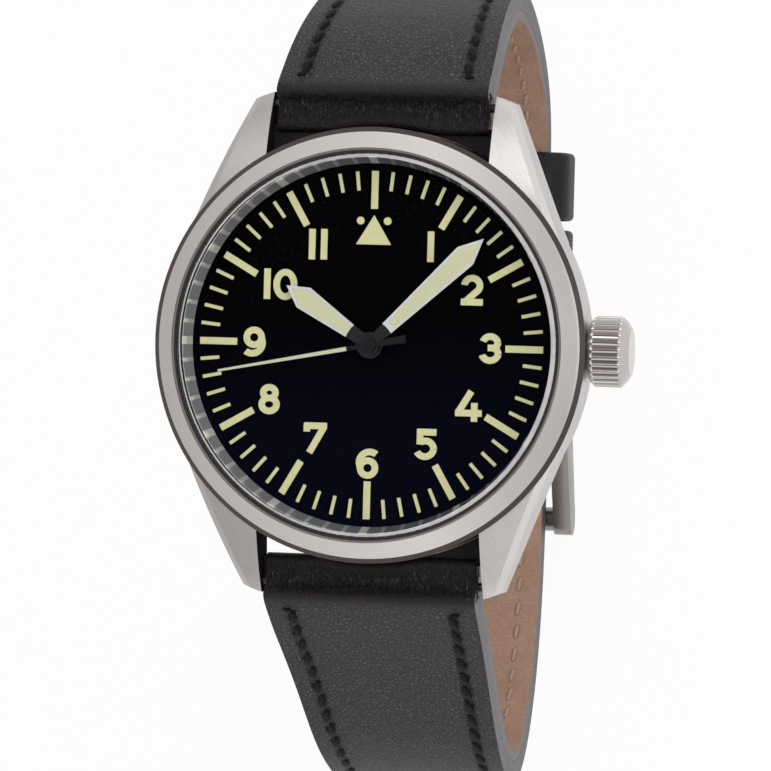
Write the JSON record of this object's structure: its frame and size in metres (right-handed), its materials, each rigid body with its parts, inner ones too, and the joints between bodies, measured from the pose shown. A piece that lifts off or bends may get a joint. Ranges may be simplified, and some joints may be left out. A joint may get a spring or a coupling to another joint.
{
  "type": "wrist watch",
  "caption": "Automatic pilot-style wrist watch with a steel case, a black dial, a fluted crown and a closed two-part leather strap on a pin buckle.",
  "frame": {"origin": "centre of the outer face of the case back", "axes": "X towards three o'clock and the crown, Y towards twelve o'clock, Z out of the dial"},
  "size_m": [0.043, 0.0752, 0.0607],
  "materials": {
    "brushed_steel": "fine brushed",
    "polished_steel": "polished",
    "sapphire": "polished, clear",
    "gasket_rubber": "matte",
    "dial_black": "matte lacquer",
    "lume": "matte, slightly rough",
    "numeral_paint": "matte, slightly rough",
    "gilt_brass": "gilt",
    "spring_steel": "blued grey",
    "nickel_plate": "nickel plated, satin",
    "ruby": "polished red stone",
    "hand_silver": "satin silver",
    "seconds_paint": "matte, black boss and tail",
    "black_leather": "matte grained",
    "tan_leather": "matte suede-like"
  },
  "bodies": {
    "case": {"balance_cock": "nickel_plate", "barrel_bridge": "nickel_plate", "bezel": "brushed_steel", "bridge_screws": "polished_steel", "case_back": "brushed_steel", "case_back_gasket": "gasket_rubber", "crown_tube": "polished_steel", "crystal": "sapphire", "crystal_gasket": "gasket_rubber", "dial": "dial_black", "fixed_keeper": "black_leather", "flange_ring": "polished_steel", "hairspring": "spring_steel", "hour_numerals": "numeral_paint", "jewels": "ruby", "main_plate": "nickel_plate", "mid_case": "brushed_steel", "minute_marks": "lume", "movement_clamps": "polished_steel", "movement_ring": "nickel_plate", "rotor_bearing": "polished_steel", "spring_bar_tubes": "polished_steel", "strap_bottom_leather": "black_leather", "strap_bottom_lining": "tan_leather", "strap_top_leather": "black_leather", "strap_top_lining": "tan_leather", "train_bridge": "nickel_plate"},
    "winding": {"winding_pinion": "polished_steel"},
    "crown_stem": {"crown": "polished_steel", "winding_stem": "polished_steel", "crown_gasket": "gasket_rubber"},
    "sliding": {"sliding_pinion": "polished_steel"},
    "setting": {"setting_lever": "polished_steel"},
    "crown_gear": {"crown_wheel": "polished_steel"},
    "ratchet": {"ratchet_wheel": "polished_steel", "barrel_arbor": "polished_steel"},
    "seconds": {"fourth_wheel": "gilt_brass", "seconds_hand": "seconds_paint"},
    "third": {"third_wheel": "gilt_brass"},
    "second": {"second_wheel": "gilt_brass"},
    "barrel_drum": {"barrel": "gilt_brass", "mainspring": "spring_steel"},
    "escape": {"escape_wheel": "polished_steel"},
    "minute": {"cannon_pinion": "polished_steel", "minute_hand": "hand_silver", "minute_hand_lume": "lume"},
    "minute_idler": {"minute_wheel": "gilt_brass"},
    "hour": {"hour_wheel": "gilt_brass", "hour_hand": "hand_silver", "hour_hand_lume": "lume"},
    "fork": {"pallet_fork": "polished_steel"},
    "balance": {"balance_wheel": "gilt_brass"},
    "rotor_mass": {"rotor": "nickel_plate"},
    "pin_top_left": {"top_pin_left": "polished_steel"},
    "pin_top_right": {"top_pin_right": "polished_steel"},
    "pin_bottom_left": {"bottom_pin_left": "polished_steel"},
    "pin_bottom_right": {"bottom_pin_right": "polished_steel"},
    "free_loop": {"free_keeper": "black_leather"},
    "buckle": {"buckle_frame": "brushed_steel"},
    "tongue": {"buckle_tongue": "brushed_steel"}
  },
  "joints": [
    {"name": "crown_turn", "type": "hinge", "parent": "case", "child": "winding", "pos_m": [0.00985, 0, 0.004], "axis": [1, 0, 0], "continuous": true},
    {"name": "crown_pull", "type": "slide", "parent": "winding", "child": "crown_stem", "axis": [1, 0, 0], "range_m": [0, 0.0012]},
    {"name": "sliding_pinion_shift", "type": "slide", "parent": "winding", "child": "sliding", "axis": [1, 0, 0], "range_m": [-0.0007, 0]},
    {"name": "setting_lever_swing", "type": "hinge", "parent": "case", "child": "setting", "pos_m": [0.011, -0.0026, 0.0048], "axis": [0, 0, 1], "range_deg": [-27, 0]},
    {"name": "crown_wheel_turn", "type": "hinge", "parent": "case", "child": "crown_gear", "pos_m": [0.0059, 0, 0.0026], "axis": [0, 0, 1], "continuous": true},
    {"name": "ratchet_turn", "type": "hinge", "parent": "case", "child": "ratchet", "pos_m": [0.00197, 0.00734, 0.0026], "axis": [0, 0, 1], "continuous": true},
    {"name": "seconds_turn", "type": "hinge", "parent": "case", "child": "seconds", "pos_m": [0, 0, 0.0078], "axis": [0, 0, 1], "continuous": true},
    {"name": "third_wheel_turn", "type": "hinge", "parent": "case", "child": "third", "pos_m": [-0.00372, 0.00046, 0.004], "axis": [0, 0, 1], "continuous": true},
    {"name": "second_wheel_turn", "type": "hinge", "parent": "case", "child": "second", "pos_m": [-0.00217, 0.00387, 0.004], "axis": [0, 0, 1], "continuous": true},
    {"name": "barrel_turn", "type": "hinge", "parent": "case", "child": "barrel_drum", "pos_m": [0.00197, 0.00734, 0.004], "axis": [0, 0, 1], "continuous": true},
    {"name": "escape_wheel_turn", "type": "hinge", "parent": "case", "child": "escape", "pos_m": [-0.00095, -0.00261, 0.004], "axis": [0, 0, 1], "continuous": true},
    {"name": "minute_turn", "type": "hinge", "parent": "case", "child": "minute", "pos_m": [0, 0, 0.0074], "axis": [0, 0, 1], "continuous": true},
    {"name": "minute_wheel_turn", "type": "hinge", "parent": "case", "child": "minute_idler", "pos_m": [0.00244, 0.00089, 0.0055], "axis": [0, 0, 1], "continuous": true},
    {"name": "hour_turn", "type": "hinge", "parent": "case", "child": "hour", "pos_m": [0, 0, 0.007], "axis": [0, 0, 1], "continuous": true},
    {"name": "pallet_fork_swing", "type": "hinge", "parent": "case", "child": "fork", "pos_m": [-0.00115, -0.00488, 0.004], "axis": [0, 0, 1], "range_deg": [-5, 5]},
    {"name": "balance_swing", "type": "hinge", "parent": "case", "child": "balance", "pos_m": [-0.0014, -0.00777, 0.0038], "axis": [0, 0, 1], "range_deg": [-390, 150]},
    {"name": "rotor_turn", "type": "hinge", "parent": "case", "child": "rotor_mass", "pos_m": [0, 0, 0.0015], "axis": [0, 0, 1], "continuous": true},
    {"name": "top_left_pin_press", "type": "slide", "parent": "case", "child": "pin_top_left", "axis": [1, 0, 0], "range_m": [0, 0.00095]},
    {"name": "top_right_pin_press", "type": "slide", "parent": "case", "child": "pin_top_right", "axis": [-1, 0, 0], "range_m": [0, 0.00095]},
    {"name": "bottom_left_pin_press", "type": "slide", "parent": "case", "child": "pin_bottom_left", "axis": [1, 0, 0], "range_m": [0, 0.00095]},
    {"name": "bottom_right_pin_press", "type": "slide", "parent": "case", "child": "pin_bottom_right", "axis": [-1, 0, 0], "range_m": [0, 0.00095]},
    {"name": "free_keeper_slide", "type": "slide", "parent": "case", "child": "free_loop", "axis": [0, 1, 0], "range_m": [-0.0008, 0.001]},
    {"name": "buckle_swing", "type": "hinge", "parent": "case", "child": "buckle", "pos_m": [0, -0.005, -0.0434], "axis": [1, 0, 0], "range_deg": [0, 6]},
    {"name": "tongue_swing", "type": "hinge", "parent": "buckle", "child": "tongue", "pos_m": [0, -0.005, -0.0434], "axis": [1, 0, 0], "range_deg": [0, 4]}
  ],
  "couplings": [
    {"joint": "sliding_pinion_shift", "follows": "crown_pull", "ratio": -0.58333},
    {"joint": "setting_lever_swing", "follows": "crown_pull", "rad_per_m": -384.62},
    {"joint": "crown_wheel_turn", "follows": "crown_turn", "ratio": 0.3},
    {"joint": "ratchet_turn", "follows": "crown_turn", "ratio": -0.26471},
    {"joint": "third_wheel_turn", "follows": "seconds_turn", "ratio": -0.13333},
    {"joint": "second_wheel_turn", "follows": "seconds_turn", "ratio": 0.018519},
    {"joint": "barrel_turn", "follows": "seconds_turn", "ratio": -0.0025368},
    {"joint": "escape_wheel_turn", "follows": "seconds_turn", "ratio": -9},
    {"joint": "minute_wheel_turn", "follows": "minute_turn", "ratio": -0.33333},
    {"joint": "hour_turn", "follows": "minute_turn", "ratio": 0.083333}
  ]
}
